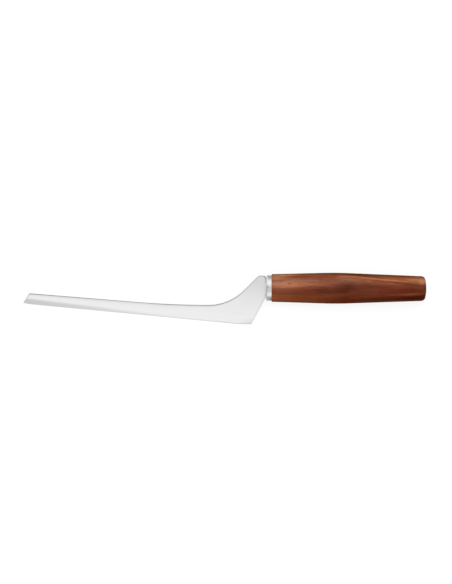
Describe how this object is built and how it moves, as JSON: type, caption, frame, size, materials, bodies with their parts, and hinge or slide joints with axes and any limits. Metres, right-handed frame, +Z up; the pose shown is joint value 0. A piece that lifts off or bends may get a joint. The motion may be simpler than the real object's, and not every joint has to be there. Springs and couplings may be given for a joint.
{
  "type": "cheese knife",
  "caption": "Cheese knife with a long, narrow, cranked steel blade, a short steel ferrule and an oval wooden handle, lying on its side.",
  "frame": {"origin": "centre of the knife's footprint, on the surface that it lies on", "axes": "+X along the handle, away from the blade; +Y across the knife, from the cutting edge towards the spine's side; +Z up. The knife lies on its left flank, rolled by about 16 degrees about X onto its heel, tip and handle, and pitched by about 1.5 degrees"},
  "size_m": [0.2996, 0.0372, 0.0189],
  "materials": {
    "blade_steel": "satin",
    "ferrule_steel": "polished",
    "handle_wood": "satin"
  },
  "bodies": {
    "root": {"blade": "blade_steel", "ferrule": "ferrule_steel", "handle": "handle_wood"}
  },
  "joints": []
}
